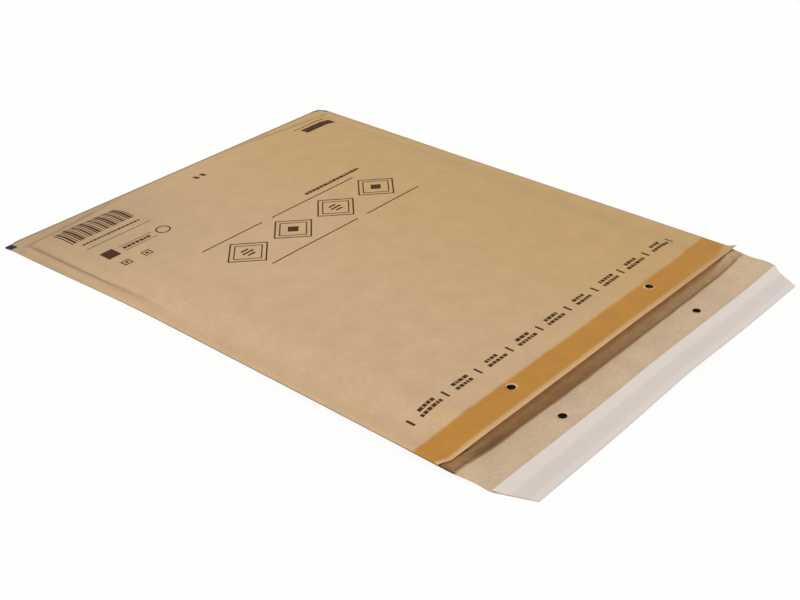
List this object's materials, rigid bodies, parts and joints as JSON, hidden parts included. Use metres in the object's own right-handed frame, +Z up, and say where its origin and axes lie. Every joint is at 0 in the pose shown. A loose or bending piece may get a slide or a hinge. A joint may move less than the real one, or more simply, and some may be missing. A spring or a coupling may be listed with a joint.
{
  "type": "bubble mailer",
  "caption": "Kraft padded envelope with bubble film lining, open mouth, punched flap and a self-seal strip under white release paper, lying flat.",
  "frame": {"origin": "under the middle of the whole blank, flap included, on the plane that the mailer lies on", "axes": "+X across the width towards the far edge, +Y from the flap towards the closed fold, +Z up out of the printed front panel"},
  "size_m": [0.29, 0.42, 0.0089],
  "materials": {
    "kraft_paper": "machine-glazed brown kraft, matt, faintly mottled",
    "bubble_film": "clear polyethylene bubble film",
    "hot_melt": "amber hot-melt glue soaked into paper",
    "seal_adhesive": "clear pressure-sensitive adhesive",
    "release_paper": "white siliconised release paper, satin"
  },
  "bodies": {
    "root": {"kraft_envelope": "kraft_paper", "bubble_liner": "bubble_film", "glue_band_front": "hot_melt", "glue_band_back": "hot_melt", "flap_adhesive_strip": "seal_adhesive", "release_liner": "release_paper"}
  },
  "joints": []
}
